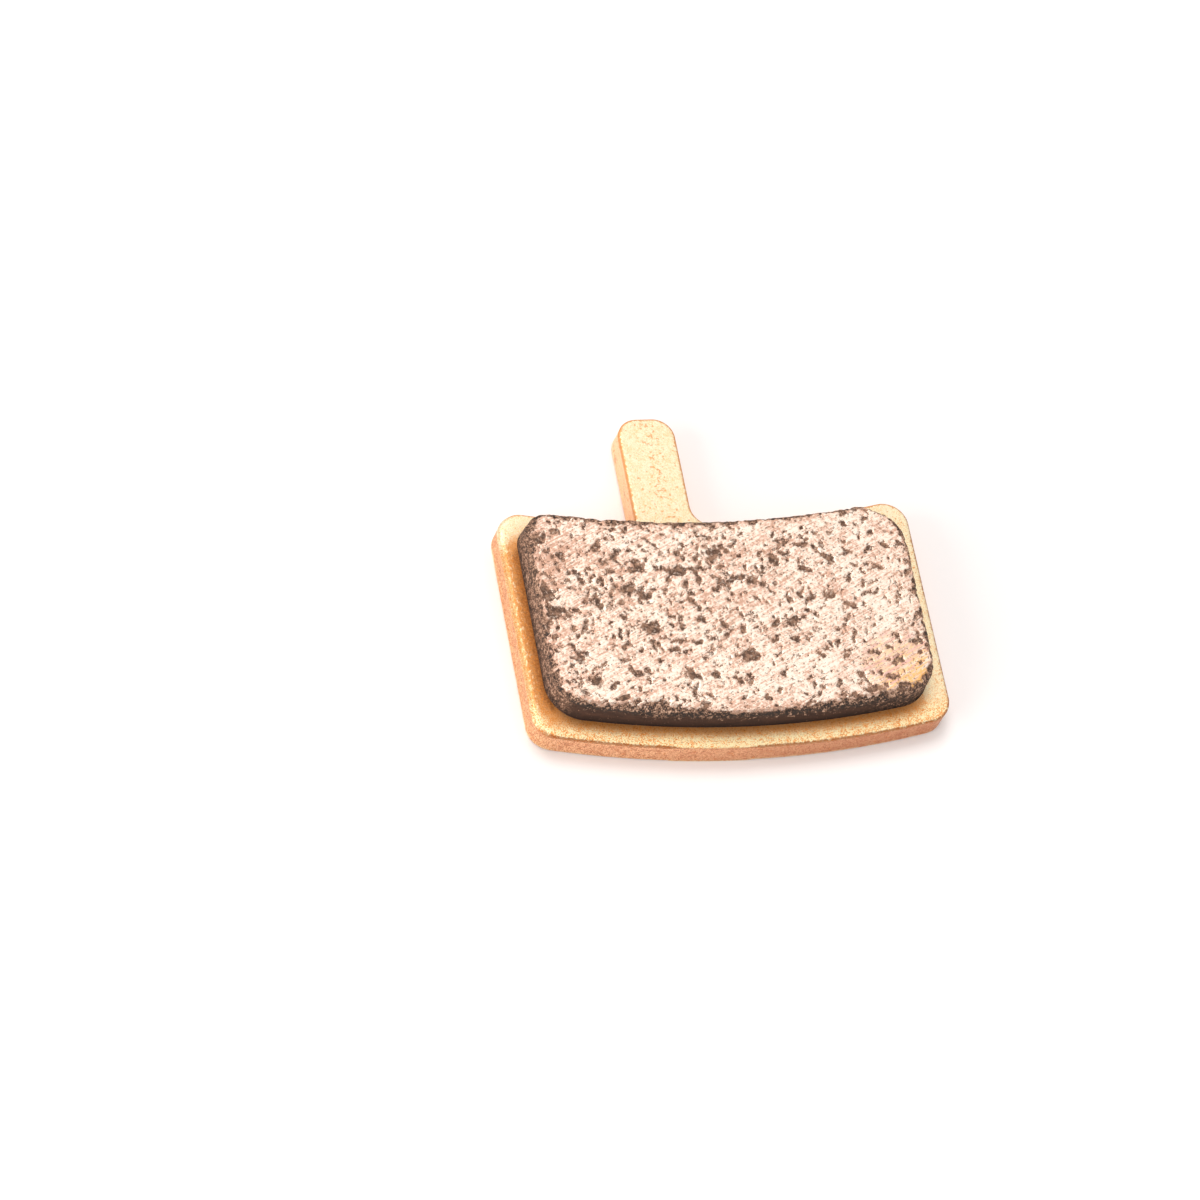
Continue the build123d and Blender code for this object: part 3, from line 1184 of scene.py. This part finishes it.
def add_lamp(name, power):
    """A square soft lamp that looks at the pad."""
    direction, size = LAMPS[name]
    data = bpy.data.lights.new(name, "AREA")
    data.size = size
    data.energy = power
    lamp = bpy.data.objects.new(name, data)
    away = Vector(direction).normalized()
    lamp.location = away * LAMP_DISTANCE
    lamp.rotation_euler = away.to_track_quat("Z", "Y").to_euler()
    bpy.context.scene.collection.objects.link(lamp)


def add_floor(settings):
    """White floor just under the pad, which keeps the shadow."""
    half = FLOOR_SIZE / 2
    corners = [(x, y, -FLOOR_GAP) for x, y in ((-half, -half), (half, -half), (half, half), (-half, half))]
    mesh = bpy.data.meshes.new("floor")
    mesh.from_pydata(corners, [], [(0, 1, 2, 3)])
    floor = bpy.data.objects.new("floor", mesh)
    bpy.context.scene.collection.objects.link(floor)
    finish = Finish("white_floor")
    rays = ("Is Camera Ray", "Is Glossy Ray", "Is Transmission Ray")
    camera, glossy, transmission = (finish.node("ShaderNodeLightPath", {}, {}, ray) for ray in rays)
    mesh.materials.append(finish.finish(
        Base_Color=settings.floor,
        Roughness=0.9,
        Emission_Color=finish.mix(camera | glossy | transmission, BLACK, WHITE),
        Emission_Strength=settings.floor_glow,
    ))


def add_sky(settings):
    """Even white light from all round."""
    world = bpy.data.worlds.new("sky")
    world.use_nodes = True
    background = world.node_tree.nodes["Background"]
    background.inputs["Color"].default_value = (*WHITE, 1.0)
    background.inputs["Strength"].default_value = settings.sky
    bpy.context.scene.world = world


# Operators and panel

class PAD_OT_plate(bpy.types.Operator):
    """Build the plated backing plate with its finger tab"""

    bl_idname = "pad.plate"
    bl_label = "Backing plate"
    bl_options = {"REGISTER", "UNDO"}

    def execute(self, context):
        settings = context.scene.pad_plate
        surface = PlateSurface(settings)
        attributes = plate_attributes(surface, block_band(context.scene.pad_block, settings))
        make_piece("plated_plate", PLATE, surface, attributes, plated_finish(settings))
        return {"FINISHED"}


class PAD_OT_block(bpy.types.Operator):
    """Build the sintered friction block with its pores and crumbled edge"""

    bl_idname = "pad.block"
    bl_label = "Friction block"
    bl_options = {"REGISTER", "UNDO"}

    def execute(self, context):
        settings = context.scene.pad_block
        surface = BlockSurface(settings, block_band(settings, context.scene.pad_plate))
        attributes = block_attributes(surface)
        make_piece("sintered_block", BLOCK, surface, attributes, sintered_finish(settings))
        return {"FINISHED"}


class PAD_OT_studio(bpy.types.Operator):
    """Build the floor, the lamps and the camera"""

    bl_idname = "pad.studio"
    bl_label = "Studio"
    bl_options = {"REGISTER", "UNDO"}

    def execute(self, context):
        settings = context.scene.pad_studio
        add_floor(settings)
        add_sky(settings)
        add_lamp("key", settings.key_power)
        add_lamp("back", settings.back_power)
        add_lamp("fill", settings.fill_power)
        add_camera(settings)
        context.scene.view_settings.view_transform = "Standard"
        return {"FINISHED"}


class PAD_PT_sidebar(bpy.types.Panel):
    """Lists the pieces of the pad"""

    bl_idname = "PAD_PT_sidebar"
    bl_label = "Brake pad"
    bl_space_type = "VIEW_3D"
    bl_region_type = "UI"
    bl_category = "Brake pad"

    def draw(self, context):
        for operator in (PAD_OT_plate, PAD_OT_block, PAD_OT_studio):
            self.layout.operator(operator.bl_idname)


SETTINGS = {"pad_plate": PlateSettings, "pad_block": BlockSettings, "pad_studio": StudioSettings}
CLASSES = (*SETTINGS.values(), PAD_OT_plate, PAD_OT_block, PAD_OT_studio, PAD_PT_sidebar)


def register():
    """Adds the classes to Blender and the settings to its scenes."""
    for cls in CLASSES:
        bpy.utils.register_class(cls)
    for name, group in SETTINGS.items():
        setattr(bpy.types.Scene, name, PointerProperty(type=group))


def unregister():
    """Takes the settings and the classes out again."""
    for name in SETTINGS:
        delattr(bpy.types.Scene, name)
    for cls in reversed(CLASSES):
        bpy.utils.unregister_class(cls)


def main():
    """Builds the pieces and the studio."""
    register()
    bpy.ops.pad.plate()
    bpy.ops.pad.block()
    bpy.ops.pad.studio()


if __name__ == "__main__":
    main()
